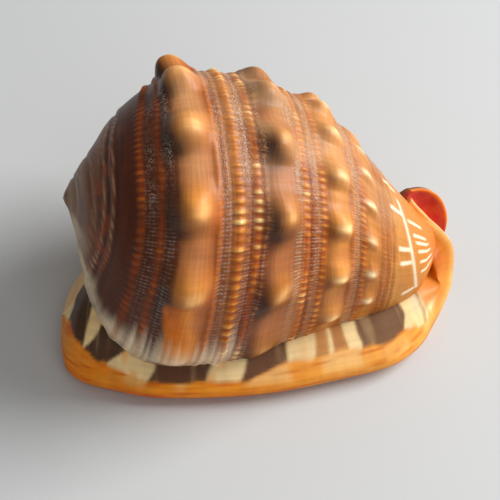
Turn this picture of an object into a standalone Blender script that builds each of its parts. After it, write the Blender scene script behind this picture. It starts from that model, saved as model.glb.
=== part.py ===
"""A helmet shell lying on its aperture, one solid: short spire, knobbed body whorl, thick rolled
outer lip, smooth parietal shield, toothed aperture and a siphonal canal that curls up and back.

X runs from the spire to the canal, -Y is the side of the outer lip and +Z is up. The origin is on
the surface that the shell rests on. Shapes are worked out in millimetres and made in metres.
"""

import math

import bmesh
import bpy
import numpy as np

MM = 0.001
MIDDLE = np.array([2.52, 0.73, 0.0])  # near the middle of the shell's box, moved to the origin

# Coil axis: it starts at the tip of the spire and dips towards the canal.
APEX = (-54.3, 8.5, 46.0)
AXIS_DIP = math.radians(5.0)
# Outlines of the whorls, as distance along the coil axis and radius: over the back, and half a
# turn later at the outer lip, where the last whorl is at its widest.
BACK_OUTLINE = [
    (0.0, 0.0), (0.5, 1.6), (1.3, 3.0), (2.5, 5.2), (6.0, 10.0), (10.0, 15.4), (13.6, 20.8), (19.0, 26.4),
    (24.6, 30.6), (30.0, 33.8), (35.0, 35.4), (42.0, 35.8), (52.0, 34.6), (60.0, 32.8), (70.0, 30.0),
    (80.0, 26.6), (90.0, 21.4), (100.0, 15.4), (106.0, 11.2), (110.0, 7.6), (113.0, 3.8), (114.5, 0.0),
]
LIP_OUTLINE = [
    (0.0, 0.0), (0.5, 1.6), (1.3, 3.2), (2.2, 7.0), (3.2, 12.4), (4.2, 19.6), (5.4, 28.0), (7.0, 34.0),
    (9.6, 39.2), (13.5, 44.8), (19.0, 49.4), (25.0, 51.8), (34.0, 52.8), (42.0, 52.8), (51.0, 51.4),
    (59.0, 48.8), (70.0, 44.6), (80.0, 39.2), (90.0, 31.4), (100.0, 22.6), (106.0, 17.0), (110.0, 11.6),
    (113.0, 5.8), (114.5, 0.0),
]
# Share of the way from the first outline to the second at each angle from straight down. It falls
# back under the shell, to where the shield covers the whorl.
GROWTH = [
    (0, -0.12), (60, -0.12), (137, 0), (217, 0.45), (270, 0.74), (302, 1), (322, 1), (345, 0.2), (360, -0.12),
]
# Towards the canal the whorl's middle bends off the coil axis: place along it, and distance off it.
BEND = [(50.0, 0.0), (60.0, 0.5), (70.0, 2.0), (80.0, 4.8), (90.0, 10.6), (100.0, 16.6), (108.0, 20.0)]
BEND_TURN = math.radians(307.0)  # the direction of that bend, towards the lip and down
UNDERSIDE_HEIGHT = 12.0  # the body's own underside, buried in the lip and shield

# Rows of knobs: place along the axis, half length, height, number in a turn, turn angle of a peak,
# and how far the row has moved towards the spire over the back and at the lip.
KNOB_ROWS = [
    (34.0, 7.0, 5.6, 12, math.radians(229.0), 0.0, 7.5),
    (59.0, 6.2, 4.2, 12, math.radians(234.0), 0.0, 8.5),
    (76.5, 4.6, 3.2, 15, math.radians(237.0), 0.0, 3.0),
    (87.0, 3.0, 1.4, 18, math.radians(240.0), 0.0, 0.0),
]
# Spiral cords between them: place along the axis, half width, height.
CORDS = [
    (20.8, 1.5, 0.9), (26.0, 1.2, 0.6), (42.4, 1.2, 0.5), (48.0, 1.7, 1.1), (53.0, 1.3, 0.8),
    (66.6, 1.2, 0.7), (70.6, 1.2, 0.7), (81.8, 1.1, 0.5), (92.0, 1.0, 0.4),
]
SUTURE_RADIUS = 22.0  # where the last whorl meets the spire
SUTURE_GROWTH = 1.9
SUTURE_DEPTH = 0.9

# Middle of the aperture, from its spire end round into the canal.
SPINE = [
    (-59.3, -5.5, 4.5), (-46.0, -8.5, 4.5), (-28.0, -13.5, 4.5), (-7.0, -17.5, 4.5),
    (14.0, -17.0, 4.5), (32.0, -13.0, 4.5), (48.0, -8.0, 5.2), (59.0, -4.6, 10.0),
    (61.8, -2.2, 18.5), (57.5, 1.0, 26.6), (49.5, 2.2, 32.6),
]
# Rails that the lip and the shield are lofted on, in order round the section. Each knot is a place
# along SPINE, counted in its points, then the distance sideways (negative towards the lip) and
# inwards (up, under the body).
RAILS = {
    "groove": [
        (0, 0, -3), (0.7, 0, -3), (1.3, 0, 3), (2, 0, 6.5), (5, 0, 7), (7, 0, 5.5), (8, 0, 4.5),
        (10, 0, 3),
    ],
    "lip_edge": [
        (0, -0.4, -3), (0.7, -1.2, -3), (1.3, -3.2, -0.5), (2, -4.4, 0), (5, -4.6, 0), (6, -4.4, 0),
        (7, -4.2, 0.8), (8, -3.6, 1), (10, -2, 0.5),
    ],
    "lip_slope": [
        (0, -0.5, -3), (0.7, -4, -4), (1.3, -7.5, -3.4), (2, -9.4, -3), (5, -9.6, -3),
        (6, -8.4, -2.8), (7, -7, -2), (8, -4.6, -1.4), (10, -2.6, -0.8),
    ],
    "lip_crest": [
        (0, -0.7, -2.8), (0.06, -5, -3.6), (0.3, -10, -4.7), (1, -14, -4.9), (2, -15.6, -4.9),
        (4, -14.6, -4.9), (5, -15.6, -4.9), (6, -13, -4.8), (6.6, -9.6, -4.4), (7, -7.8, -4),
        (7.5, -5.6, -3.4), (8, -4.8, -2.9), (9, -4.8, -2.4), (9.6, -3.6, -3), (10, -1.8, -3.6),
    ],
    "lip_heel": [
        (0, -0.9, -1.8), (0.06, -6.5, -3), (0.3, -14, -4.2), (1, -19.5, -4.7), (2, -20.6, -4.8),
        (4, -19.6, -4.8), (5, -21, -4.8), (6, -17.6, -4.7), (6.6, -12.6, -4), (7, -10, -3.6),
        (7.5, -7.2, -3.2), (8, -6, -3), (9, -5.6, -2.2), (9.6, -4.4, -2.6), (10, -2.6, -3.2),
    ],
    "lip_rim": [
        (0, -1, 0), (0.06, -8, 0), (0.3, -17, 0), (0.8, -22.4, 0), (1.4, -25, 0), (2, -26.4, 0),
        (3, -25.2, 0), (4, -25.2, 0), (5, -27, 0), (5.5, -25, 0), (6, -21, -0.6), (6.5, -16.4, -1.6),
        (7, -11.4, -2.4), (7.5, -7.8, -2.6), (8, -6.6, -2.6), (9, -6.4, -1.6), (10, -4.4, -1),
    ],
    "lip_top": [
        (0, -0.8, 2.4), (0.06, -7, 3), (0.3, -15.4, 4), (0.8, -20.4, 4.8), (1.4, -22.8, 5),
        (2, -24, 5), (3, -23, 5), (4, -23, 5), (5, -24.6, 5), (5.5, -22.8, 5), (6, -19.8, 4.6),
        (6.5, -16, 3.6), (7, -12, 2.2), (7.5, -9.4, 1), (8, -8, 0.4), (9, -7.4, 1), (10, -4.8, 1),
    ],
    "lip_shelf": [
        (0, -0.4, 3), (0.25, -9, 9), (0.6, -13, 14), (1, -15, 14), (2, -15, 12), (4, -13, 12),
        (5, -14, 12), (6, -15, 12), (7, -15, 8), (7.5, -14, 7.4), (8, -12, 7.5), (9, -9, 5.5),
        (10, -4.4, 3),
    ],
    "roof": [
        (0, 0, 3), (0.5, 1, 13), (1, 3, 20), (2, 8, 22), (5, 8, 18), (6, 3, 13), (7, 0, 9), (8, 0, 8),
        (9, 0, 7), (10, 0, 4.6),
    ],
    "margin_inside": [
        (0, 0.4, 3), (0.5, 8, 10), (1, 16, 18), (6, 16, 14), (6.6, 12, 12), (7, 11, 10), (8, 10, 8.5),
        (9, 8, 6), (10, 4.4, 3),
    ],
    "margin_top": [
        (0, 0.8, 2.4), (0.06, 8, 3), (0.3, 16, 4), (0.6, 21, 6), (1, 24, 9), (6, 24, 12),
        (6.6, 17, 7), (7, 13.6, 4), (8, 10.4, 1), (9, 9.2, 1), (10, 4.8, 1),
    ],
    "margin": [
        (0, 1, 0), (0.06, 9, 0), (0.3, 17.6, 0), (0.6, 23, 1), (1, 26, 4), (6, 26, 9), (6.6, 17, 3),
        (7, 12.4, 0), (8, 8.8, -2), (9, 8.4, -1.6), (10, 4.6, -0.6),
    ],
    "shield_belly": [],  # worked out from the rails beside it
    "shield_heel": [
        (0, 0.8, -1.8), (0.06, 6.5, -3), (0.3, 13, -4.2), (1, 19, -4.7), (2, 22.6, -4.8),
        (4, 23.6, -4.8), (5, 22, -4.8), (6, 16.4, -4.6), (6.6, 12, -4), (7, 9.6, -3.6), (8, 7.4, -3.6),
        (8.5, 6.6, -4.4), (9, 5.4, -5.4), (9.5, 3.8, -5.6), (10, 2, -4.4),
    ],
    "shield_crest": [
        (0, 0.6, -2.8), (0.06, 5, -3.6), (0.3, 10, -4.7), (1, 14, -4.9), (2, 18, -4.9), (4, 19, -4.9),
        (5, 17.6, -4.9), (6, 13, -4.8), (6.6, 9.8, -4.4), (7, 7.6, -4), (8, 5.6, -3.6), (8.5, 5.2, -4.5),
        (9, 4.2, -5.7), (9.5, 2.9, -6), (10, 1.2, -4.8),
    ],
    "shield_slope": [
        (0, 0.5, -3), (0.7, 4, -4), (1.3, 7.5, -3.4), (2, 10, -3), (5, 10, -3), (6, 8.4, -2.8),
        (7, 6.4, -2), (8, 4.8, -1.4), (10, 2.6, -0.8),
    ],
    "shield_edge": [
        (0, 0.4, -3), (0.7, 1.2, -3), (1.3, 3.2, -0.5), (2, 4.4, 0), (5, 4.6, 0), (6, 4.4, 0),
        (7, 4.2, 0.8), (8, 3.6, 1), (10, 2, 0.5),
    ],
}
SPAN_PIECES = {"lip_heel": 2, "margin": 2, "shield_belly": 2, "shield_crest": 2}
# Between these places along SPINE the shield's margin lies on the body: place along the coil axis,
# angle round it in degrees, and how far each of the three margin rails stands off the whorl.
MARGIN_PATH = [(0.6, 14.0, 34.0), (1, 20.0, 42.0), (2, 34.0, 52.0), (3, 50.0, 56.0), (4, 66.0, 58.0),
               (5, 82.0, 62.0), (6, 96.0, 72.0), (6.6, 103.0, 84.0)]
MARGIN_LIFT = {"margin_inside": (10.0, -4.0), "margin_top": (3.0, 1.3), "margin": (0.0, 2.4)}
MARGIN_FROM, MARGIN_TO = (0.5, 1.1), (5.9, 6.7)

# Teeth along both edges of the aperture, between these places along SPINE.
TEETH = 21
TEETH_FROM, TEETH_TO = 1.35, 6.3
TOOTH_HEIGHT = {"lip_edge": 1.6, "lip_slope": 1.5, "shield_edge": 1.6, "shield_slope": 1.4}
TOOTH_REACH = 0.9

# Hollow inside the body whorl, a tube that runs back from the aperture round the columella.
WALL = 4.6
HOLLOW_FROM, HOLLOW_TO = math.radians(95.0), math.radians(318.0)
HOLLOW_MIDDLE, HOLLOW_HALF_LENGTH = 60.0, 36.0
HOLLOW_FLOOR = 14.5
SLOT_HALF_WIDTH = 3.7
SLOT_FROM, SLOT_TO = 1.5, 5.9
SLOT_BOTTOM, SLOT_TOP = 0.5, 17.0


def smooth(knots, x):
    """A cubic through the knots (place, value) that never overshoots them."""
    x = np.asarray(x, float)
    px, py = np.array(knots, float).T
    step, rise = np.diff(px), np.diff(py)
    slope = rise / step
    before, after = slope[:-1], slope[1:]
    same = before * after > 0
    total = np.where(same, before + after, 1.0)
    tangent = np.zeros(len(px))
    tangent[1:-1] = np.where(same, 2 * before * after / total, 0.0)
    tangent[0], tangent[-1] = slope[0], slope[-1]
    i = np.clip(np.searchsorted(px, x, side="right") - 1, 0, len(step) - 1)
    u = np.clip((x - px[i]) / step[i], 0, 1)
    return (
        py[i] * (1 + 2 * u) * (1 - u) ** 2
        + tangent[i] * step[i] * u * (1 - u) ** 2
        + py[i + 1] * u * u * (3 - 2 * u)
        + tangent[i + 1] * step[i] * u * u * (u - 1)
    )


def ease(low, high, x):
    """0 below low, 1 above high, and smooth between them."""
    u = np.clip((x - low) / (high - low), 0, 1)
    return u * u * (3 - 2 * u)


def knob_wave(turn, count, peak):
    """Along a row, 1 on a knob and 0 between: a long rise, then a short fall towards the lip."""
    place = (((turn - peak) * count / math.tau) + 0.58) % 1.0
    return ease(0.02, 0.5, place) * (1 - ease(0.66, 0.97, place))


def relief(along, turn):
    """Height of the knobs, cords and suture over the plain whorl."""
    height = np.zeros(np.broadcast(along, turn).shape)
    fading = ease(math.radians(285.0), math.radians(312.0), turn)
    at_back = 1 - ease(math.radians(120.0), math.radians(215.0), turn)
    at_lip = ease(math.radians(220.0), math.radians(310.0), turn)
    for place, half, top, count, peak, back_drift, lip_drift in KNOB_ROWS:
        row = place - back_drift * at_back - lip_drift * at_lip
        across = np.clip(1 - ((along - row) / (1.25 * half)) ** 2, 0, 1) ** 2
        height += top * (1 - 0.6 * fading) * across * (0.2 + 0.8 * knob_wave(turn, count, peak))
    for place, half, top in CORDS:
        height += top * np.exp(-(((along - place) / half) ** 2))
    radius = smooth(BACK_OUTLINE, along)
    whorl = np.log(np.maximum(radius, 0.5) / SUTURE_RADIUS) / math.log(SUTURE_GROWTH)
    from_suture = whorl - np.round(whorl)
    on_spire = (radius < 1.2 * SUTURE_RADIUS) & (radius > 2.5) & (along < 20)
    height -= np.where(on_spire, SUTURE_DEPTH * np.exp(-((from_suture / 0.09) ** 2)), 0)
    return height


def whorl_radius(along, turn):
    """Radius of the plain whorl."""
    share = smooth(GROWTH, np.degrees(turn))
    return smooth(BACK_OUTLINE, along) * (1 - share) + smooth(LIP_OUTLINE, along) * share


def coil_point(along, turn, radius_change=0.0, floor=UNDERSIDE_HEIGHT, sculpted=True):
    """The point of the whorl at this distance along the axis and this angle round it."""
    along, turn = np.broadcast_arrays(np.asarray(along, float), np.asarray(turn, float))
    radius = whorl_radius(along, turn)
    slope = whorl_radius(along + 0.5, turn) - whorl_radius(along - 0.5, turn)
    lean = np.arctan(np.clip(slope, -2, 2))
    height = relief(along, turn) * ease(0, 4, radius) if sculpted else 0.0
    radius = np.maximum(radius + radius_change + height * np.cos(lean), 0)
    forward = along - height * np.sin(lean)
    bend = smooth(BEND, along)
    side = radius * np.sin(turn) + bend * math.sin(BEND_TURN)
    up = -radius * np.cos(turn) - bend * math.cos(BEND_TURN)
    x = APEX[0] + forward * math.cos(AXIS_DIP) + up * math.sin(AXIS_DIP)
    y = APEX[1] + side
    z = APEX[2] - forward * math.sin(AXIS_DIP) + up * math.cos(AXIS_DIP)
    return np.stack([x, y, np.maximum(z, floor)], axis=-1)


def cubic(a, b, c, d, u):
    """A Catmull-Rom curve from b to c, and its direction, at this share of the way."""
    bow, twist = 2 * a - 5 * b + 4 * c - d, 3 * b - a - 3 * c + d
    return 0.5 * (2 * b + (c - a) * u + bow * u**2 + twist * u**3), (c - a) / 2 + bow * u + 1.5 * twist * u**2


def spine_frames(places):
    """Points of SPINE at these places, with their sideways and inward directions."""
    points = np.array(SPINE, float)
    padded = np.vstack([2 * points[0] - points[1], points, 2 * points[-1] - points[-2]])
    places = np.clip(np.asarray(places, float), 0, len(points) - 1)
    i = np.minimum(places.astype(int), len(points) - 2)
    u = (places - i)[:, None]
    a, b, c, d = (padded[i + n] for n in range(4))
    centre, ahead = cubic(a, b, c, d, u)
    ahead /= np.linalg.norm(ahead, axis=1)[:, None]
    sideways = np.array([0.0, 1.0, 0.0]) - ahead[:, 1:2] * ahead
    sideways /= np.linalg.norm(sideways, axis=1)[:, None]
    return centre, sideways, np.cross(ahead, sideways)


def through(points, pieces):
    """A closed smooth curve through the points, with this many pieces to each span."""
    count, curve = len(points), []
    for i in range(count):
        a, b, c, d = (points[(i + n) % count] for n in (-1, 0, 1, 2))
        for step in range(pieces[i]):
            curve.append(cubic(a, b, c, d, step / pieces[i])[0])
    return np.array(curve)


def mesh_object(name, rings, cap_start, cap_end):
    """A closed mesh from rings of points in millimetres. A cap is its middle, or None for a flat one."""
    shape = bmesh.new()
    layers = [[shape.verts.new((point - MIDDLE) * MM) for point in ring] for ring in rings]
    for low, high in zip(layers, layers[1:]):
        for i in range(len(low)):
            j = (i + 1) % len(low)
            shape.faces.new((low[i], low[j], high[j], high[i]))
    for ring, tip in ((layers[0], cap_start), (layers[-1], cap_end)):
        if tip is None:
            shape.faces.new(ring)
            continue
        centre = shape.verts.new((tip - MIDDLE) * MM)
        for i in range(len(ring)):
            shape.faces.new((ring[i], ring[(i + 1) % len(ring)], centre))
    bmesh.ops.triangulate(shape, faces=shape.faces[:])
    bmesh.ops.recalc_face_normals(shape, faces=shape.faces[:])
    mesh = bpy.data.meshes.new(name)
    shape.to_mesh(mesh)
    shape.free()
    obj = bpy.data.objects.new(name, mesh)
    bpy.context.scene.collection.objects.link(obj)
    return obj


def body_stations():
    """Places along the axis for the body's rings: on each cord and knob row, and between them."""
    spire = [0.5, 1.6, 3.2, 5.0, 7.0, 8.8, 10.2, 12.0, 14.5, 17.6]
    knobs = [place + half * step for place, half, *_ in KNOB_ROWS for step in (-0.75, -0.28, 0.28, 0.75)]
    cords = [place for place, *_ in CORDS]
    gaps = [18.8, 23.2, 41.0, 45.4, 51.0, 68.6, 72.6, 95.5, 99.5, 104.0, 109.0]
    return sorted(spire + knobs + cords + gaps)


def body_turns():
    """Angles round the axis: fine over the back, coarse where the lip and shield cover the whorl."""
    open_from, open_to = math.radians(70.0), math.radians(310.0)
    fine = np.linspace(open_from, open_to, 49)
    covered = np.linspace(open_to, math.tau, 6)[1:]
    start = np.linspace(0.0, open_from, 8)[:-1]
    return np.concatenate([start, fine, covered[:-1]])


def make_body():
    """Spire and body whorl, closed at both ends of the coil axis."""
    turns = body_turns()
    rings = [coil_point(along, turns) for along in body_stations()]
    ends = [coil_point(along, 0.0, sculpted=False) for along in (0.0, BACK_OUTLINE[-1][0])]
    return mesh_object("body_form", rings, *ends)


def loft_stations():
    """Places along SPINE: close at the rounded spire end, then two to a tooth."""
    spire_end = [0.0, 0.04, 0.12, 0.25, 0.45, 0.7, 1.0]
    step = (TEETH_TO - TEETH_FROM) / (2 * TEETH)
    teeth = [TEETH_FROM + step * n for n in range(2 * TEETH)]
    canal = [6.6, 6.9, 7.2, 7.5, 7.8, 8.1, 8.5, 8.9, 9.3, 9.7, 10.0]
    return np.array(spire_end + teeth + canal)


def tooth_wave(places):
    """1 on a tooth and 0 between two teeth."""
    inside = ease(TEETH_FROM, TEETH_FROM + 0.3, places) * (1 - ease(TEETH_TO - 0.3, TEETH_TO, places))
    phase = (places - TEETH_FROM) * TEETH / (TEETH_TO - TEETH_FROM)
    return inside * (0.5 - 0.5 * np.cos(math.tau * phase))


def rail_points(name, places, frames):
    """Points of one rail of the loft at these places along SPINE."""
    centre, sideways, inward = frames
    side = smooth([(k, b) for k, b, _ in RAILS[name]], places)
    depth = smooth([(k, u) for k, _, u in RAILS[name]], places)
    if name in TOOTH_HEIGHT:
        tooth = tooth_wave(places)
        depth = depth - TOOTH_HEIGHT[name] * tooth
        side = side - np.sign(side) * TOOTH_REACH * tooth * ("edge" in name)
    points = centre + side[:, None] * sideways + depth[:, None] * inward
    if name in MARGIN_LIFT:
        turn, lift = MARGIN_LIFT[name]
        along = smooth([(k, t) for k, t, _ in MARGIN_PATH], places)
        angle = np.radians(smooth([(k, a) for k, _, a in MARGIN_PATH], places) + turn)
        on_body = coil_point(along, angle, lift, floor=0.0, sculpted=False)
        share = (ease(*MARGIN_FROM, places) * (1 - ease(*MARGIN_TO, places)))[:, None]
        points = points * (1 - share) + on_body * share
    return points


def make_lip_and_shield():
    """The outer lip, the parietal shield and the canal, lofted along the aperture."""
    places = loft_stations()
    frames = spine_frames(places)
    rails = {name: rail_points(name, places, frames) for name in RAILS if RAILS[name]}
    heel, margin = rails["shield_heel"], rails["margin"]
    across = margin - heel
    inward = np.sum(across * frames[2], axis=1)[:, None] * frames[2]
    rails["shield_belly"] = heel + 0.68 * (across - inward) + 0.3 * inward
    pieces = [SPAN_PIECES.get(name, 1) for name in RAILS]
    rings = []
    for i in range(len(places)):
        ring = through([rails[name][i] for name in RAILS], pieces)
        ring[:, 2] = np.maximum(ring[:, 2], 0.0)
        rings.append(ring)
    return mesh_object("lip_form", rings, None, None)


def make_hollow():
    """The room inside the body whorl: wide at the aperture and closed behind the columella."""
    around = np.linspace(0, math.tau, 20, endpoint=False)
    turns = np.linspace(HOLLOW_FROM, HOLLOW_TO, 15)
    rings = []
    for turn in turns:
        share = float(ease(-0.02, 0.25, (turn - HOLLOW_FROM) / (HOLLOW_TO - HOLLOW_FROM)))
        closing = 0.5 if turn == turns[-1] else 1.0
        along = HOLLOW_MIDDLE + HOLLOW_HALF_LENGTH * (0.45 + 0.55 * share) * np.cos(around)
        plain = whorl_radius(along, turn)
        inner = smooth([(20, 12.0), (60, 8.0), (100, 5.0)], along)
        middle, half = (plain - WALL + inner) / 2, (plain - WALL - inner) / 2
        radius = middle + half * np.sin(around) * (0.25 + 0.75 * share) * closing
        rings.append(coil_point(along, turn, radius - plain, HOLLOW_FLOOR, sculpted=False))
    return mesh_object("hollow_form", rings, None, None)


def make_slot():
    """The narrow passage from the aperture's groove up into the hollow."""
    places = np.linspace(SLOT_FROM, SLOT_TO, 22)
    centre, sideways, inward = spine_frames(places)
    taper = ease(SLOT_FROM - 0.2, SLOT_FROM + 0.5, places) * (1 - ease(SLOT_TO - 0.5, SLOT_TO + 0.2, places))
    rings = []
    for i in range(len(places)):
        half = SLOT_HALF_WIDTH * (0.45 + 0.55 * taper[i])
        one_side = [(-half, SLOT_BOTTOM), (-half, SLOT_TOP - 3)]
        other_side = [(half, SLOT_TOP - 3), (half, SLOT_BOTTOM)]
        corners = one_side + [(0, SLOT_TOP)] + other_side
        rings.append([centre[i] + b * sideways[i] + u * inward[i] for b, u in corners])
    return mesh_object("slot_form", rings, None, None)


def combine(target, tool, operation):
    """A Boolean on target with a form that isn't shown itself."""
    tool.hide_render = True
    tool.display_type = "WIRE"
    step = target.modifiers.new(tool.name, "BOOLEAN")
    step.operation = operation
    step.object = tool
    step.solver = "EXACT"


def shell_material():
    """Glossy orange brown, the colour of the knobs."""
    material = bpy.data.materials.new("shell")
    material.use_nodes = True
    surface = material.node_tree.nodes["Principled BSDF"]
    surface.inputs["Base Color"].default_value = (0.45, 0.17, 0.05, 1.0)
    surface.inputs["Roughness"].default_value = 0.35
    surface.inputs["Metallic"].default_value = 0.0
    return material


def main():
    for old in list(bpy.data.objects):
        bpy.data.objects.remove(old)
    shell = make_body()
    shell.name = "shell"
    combine(shell, make_lip_and_shield(), "UNION")
    combine(shell, make_hollow(), "DIFFERENCE")
    combine(shell, make_slot(), "DIFFERENCE")
    shell.data.materials.append(shell_material())


main()
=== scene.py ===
"""The looks of the helmet shell: one sculpted piece with its colours, on a pale floor in soft light.

Shapes are worked out in millimetres, in the same frame as the part, and made in metres.
"""

import math

import bmesh
import bpy
import numpy as np
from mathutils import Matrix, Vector


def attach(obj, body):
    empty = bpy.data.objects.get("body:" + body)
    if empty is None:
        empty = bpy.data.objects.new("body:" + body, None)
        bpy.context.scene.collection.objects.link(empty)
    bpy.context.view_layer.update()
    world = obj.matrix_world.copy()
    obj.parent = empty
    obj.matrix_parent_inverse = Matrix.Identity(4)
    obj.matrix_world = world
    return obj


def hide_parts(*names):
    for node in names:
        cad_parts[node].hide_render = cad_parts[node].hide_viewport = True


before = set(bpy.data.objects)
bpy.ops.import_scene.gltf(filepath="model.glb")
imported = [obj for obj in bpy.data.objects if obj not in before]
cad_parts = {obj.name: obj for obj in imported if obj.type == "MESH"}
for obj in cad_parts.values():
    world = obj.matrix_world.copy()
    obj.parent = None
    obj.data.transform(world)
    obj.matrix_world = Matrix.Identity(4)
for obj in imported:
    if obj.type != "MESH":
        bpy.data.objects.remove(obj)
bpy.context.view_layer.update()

MM = 0.001
MIDDLE = np.array([2.52, 0.73, 0.0])  # near the middle of the shell's box, moved to the origin

# Coil axis: it starts at the tip of the spire and dips towards the canal.
APEX = (-54.3, 8.5, 46.0)
AXIS_DIP = math.radians(5.0)
# Outlines of the whorls, as distance along the coil axis and radius: over the back, and half a
# turn later at the outer lip, where the last whorl is at its widest.
BACK_OUTLINE = [
    (0.0, 0.0), (0.5, 1.6), (1.3, 3.0), (2.5, 5.2), (6.0, 10.0), (10.0, 15.4), (13.6, 20.8), (19.0, 26.4),
    (24.6, 30.6), (30.0, 33.8), (35.0, 35.4), (42.0, 35.8), (52.0, 34.6), (60.0, 32.8), (70.0, 30.0),
    (80.0, 26.6), (90.0, 21.4), (100.0, 15.4), (106.0, 11.2), (110.0, 7.6), (113.0, 3.8), (114.5, 0.0),
]
LIP_OUTLINE = [
    (0.0, 0.0), (0.5, 1.6), (1.3, 3.2), (2.2, 7.0), (3.2, 12.4), (4.2, 19.6), (5.4, 28.0), (7.0, 34.0),
    (9.6, 39.2), (13.5, 44.8), (19.0, 49.4), (25.0, 51.8), (34.0, 52.8), (42.0, 52.8), (51.0, 51.4),
    (59.0, 48.8), (70.0, 44.6), (80.0, 39.2), (90.0, 31.4), (100.0, 22.6), (106.0, 17.0), (110.0, 11.6),
    (113.0, 5.8), (114.5, 0.0),
]
# Share of the way from the first outline to the second at each angle from straight down.
GROWTH = [
    (0, -0.12), (60, -0.12), (137, 0), (217, 0.45), (270, 0.74), (302, 1), (322, 1), (345, 0.2), (360, -0.12),
]
# Towards the canal the whorl's middle bends off the coil axis: place along it, and distance off it.
BEND = [(50.0, 0.0), (60.0, 0.5), (70.0, 2.0), (80.0, 4.8), (90.0, 10.6), (100.0, 16.6), (108.0, 20.0)]
BEND_TURN = math.radians(307.0)
UNDERSIDE_HEIGHT = 12.0

# Rows and cords lean towards the spire near the lip and over the back: place in the row, shift.
LEAN_AT_LIP = [
    (0, 0), (6, 3), (12, 8), (20, 8.5), (34, 7), (46, 4.5), (59, 7), (66, 2), (76, 1.5), (90, 0), (120, 0),
]
LEAN_AT_BACK = [(0, 0), (12, -6), (20, -7), (34, 0), (120, 0)]

# Rows of knobs: place, half length, height, number in a turn, turn angle of a peak in degrees.
KNOB_ROWS = [
    (34.0, 7.0, 5.6, 12, 229.0), (59.0, 6.2, 4.2, 12, 234.0), (76.5, 4.6, 3.2, 15, 237.0),
    (87.0, 3.0, 1.4, 18, 240.0),
]
# Spiral cords: place, half width, height, and how strongly they are beaded.
CORDS = [
    (12.6, 0.5, 0.25, 0.0), (20.0, 1.0, 0.8, 1.0), (25.5, 0.9, 0.6, 1.0), (28.3, 0.6, 0.3, 0.0),
    (41.0, 0.8, 0.5, 0.2), (43.2, 0.6, 0.35, 0.3), (46.5, 1.5, 1.3, 0.9), (49.0, 0.6, 0.3, 0.3),
    (52.0, 1.0, 0.8, 0.9), (54.2, 0.6, 0.3, 0.3), (66.5, 1.0, 0.8, 0.9), (68.8, 0.6, 0.4, 0.4),
    (71.5, 0.9, 0.6, 0.9), (81.0, 0.7, 0.4, 0.3), (82.4, 0.6, 0.3, 0.3), (84.5, 0.8, 0.5, 0.8),
    (92.0, 0.6, 0.3, 0.4), (94.0, 0.6, 0.3, 0.4), (96.0, 0.6, 0.3, 0.4),
]
BEADS = 106  # in one turn of a cord
CREAM_CORDS = (46.5, 52.0, 66.5)  # the cords that have some cream beads
# The seam between the whorls of the spire: a radius that it passes, how many times wider the next
# pass is, and its depth. A shallow groove beside it keeps to one row.
SUTURE_RADIUS = 22.0
SUTURE_GROWTH = 1.9
SUTURE_DEPTH = 0.35
GROOVE_ROW, GROOVE_HALF, GROOVE_DEPTH = 11.6, 0.6, 0.5
# The relief starts clear of the shield's edge, at these turns in degrees.
RELIEF_FROM, RELIEF_FULL = 60.0, 76.0

# Middle of the aperture, from its spire end round into the canal.
SPINE = [
    (-59.3, -5.5, 4.5), (-46.0, -8.5, 4.5), (-28.0, -13.5, 4.5), (-7.0, -17.5, 4.5),
    (14.0, -17.0, 4.5), (32.0, -13.0, 4.5), (48.0, -8.0, 5.2), (59.0, -4.6, 10.0),
    (61.8, -2.2, 18.5), (57.5, 1.0, 26.6), (49.5, 2.2, 32.6),
]
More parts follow.
